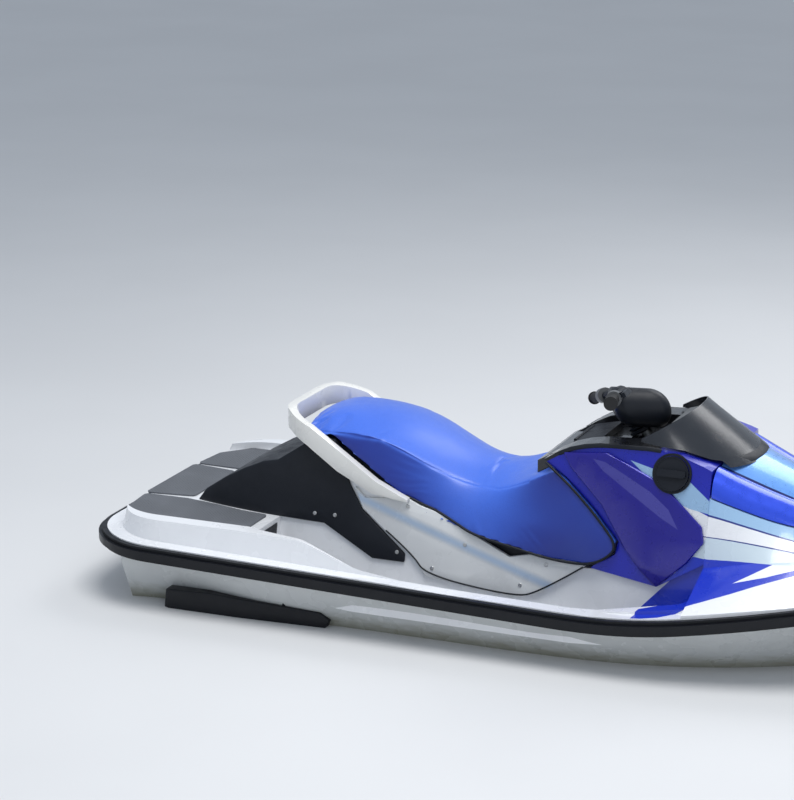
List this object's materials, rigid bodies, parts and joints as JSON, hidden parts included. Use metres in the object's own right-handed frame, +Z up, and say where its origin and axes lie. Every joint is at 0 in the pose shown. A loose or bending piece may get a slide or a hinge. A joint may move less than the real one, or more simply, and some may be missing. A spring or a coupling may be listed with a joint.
{
  "type": "personal watercraft",
  "caption": "Sit-down personal watercraft with a long raised seat, jet pump, turning handlebar and nozzle, lifting hood, reverse bucket and open footwells.",
  "frame": {"origin": "on the waterline, amidships, on the centre plane", "axes": "+X forward to the bow, +Y to port, +Z up"},
  "size_m": [3.12, 1.18, 1.0747],
  "materials": {
    "hull_gelcoat": "glossy gelcoat",
    "deck_gelcoat": "glossy gelcoat",
    "bumper_black": "satin",
    "trim_black": "fine grained",
    "mat_grey": "ribbed",
    "panel_silver": "gloss",
    "seat_vinyl": "vinyl",
    "handle_white": "satin",
    "cowl_blue": "metallic gloss",
    "knee_blue": "gloss",
    "hood_blue": "metallic gloss",
    "shield_smoke": "smoked",
    "pod_grey": "satin",
    "pump_alloy": "cast",
    "steel": "polished",
    "engine_iron": "cast",
    "grip_rubber": "ribbed"
  },
  "bodies": {
    "craft": {"hull_shell": "hull_gelcoat", "deck_shell": "deck_gelcoat", "bumper_stern": "bumper_black", "bumper_starboard": "bumper_black", "bumper_port": "bumper_black", "rear_cover": "trim_black", "seat_base": "trim_black", "side_panel_starboard": "panel_silver", "side_panel_port": "panel_silver", "knee_panel_starboard": "knee_blue", "knee_panel_port": "knee_blue", "cowl": "cowl_blue", "glove_box": "trim_black", "seat": "seat_vinyl", "grab_handle": "handle_white", "mat_stern_starboard": "mat_grey", "mat_stern_port": "mat_grey", "mat_stern_center": "mat_grey", "mat_footwell_starboard": "mat_grey", "mat_footwell_port": "mat_grey", "storage_bin": "trim_black", "engine_block": "engine_iron", "pump_housing": "pump_alloy", "ride_plate": "pump_alloy", "intake_grate": "pump_alloy", "fuel_bezel": "trim_black", "fuel_cap": "trim_black", "instrument_pod": "pod_grey", "sponson_starboard": "bumper_black", "sponson_port": "bumper_black", "bow_eye": "steel", "stern_eye_starboard": "steel", "stern_eye_port": "steel", "hood_hinge": "trim_black"},
    "handlebar": {"steering_stem": "pump_alloy", "handlebar": "trim_black", "bar_pad": "trim_black", "grip_starboard": "grip_rubber", "grip_port": "grip_rubber", "throttle_housing": "pod_grey", "switch_housing": "pod_grey", "throttle_lever": "trim_black"},
    "hood": {"hood": "hood_blue", "windshield": "shield_smoke"},
    "glove_lid": {"glove_lid": "trim_black"},
    "impeller": {"drive_shaft": "steel", "impeller": "steel"},
    "nozzle": {"steering_nozzle": "pump_alloy"},
    "reverse_bucket": {"reverse_bucket": "trim_black"}
  },
  "joints": [
    {"name": "steering", "type": "hinge", "parent": "craft", "child": "handlebar", "pos_m": [0.15, 0, 0.62], "axis": [-0.5446, 0, 0.8387], "range_deg": [-52, 0]},
    {"name": "nozzle_steer", "type": "hinge", "parent": "craft", "child": "nozzle", "pos_m": [-1.418, 0, -0.098], "axis": [0, 0, 1], "range_deg": [0, 40]},
    {"name": "bucket_pivot", "type": "hinge", "parent": "craft", "child": "reverse_bucket", "pos_m": [-1.368, 0, -0.098], "axis": [0, -1, 0], "range_deg": [0, 65]},
    {"name": "hood_pivot", "type": "hinge", "parent": "craft", "child": "hood", "pos_m": [1.436, 0, 0.386], "axis": [0, 1, 0], "range_deg": [0, 60]},
    {"name": "glove_lid_hinge", "type": "hinge", "parent": "craft", "child": "glove_lid", "pos_m": [-0.038, 0, 0.57265], "axis": [0, -1, 0], "range_deg": [0, 95]},
    {"name": "impeller_spin", "type": "hinge", "parent": "craft", "child": "impeller", "pos_m": [-1.22, 0, -0.098], "axis": [1, 0, 0], "continuous": true}
  ],
  "couplings": [
    {"joint": "nozzle_steer", "follows": "steering", "ratio": -0.76923}
  ]
}
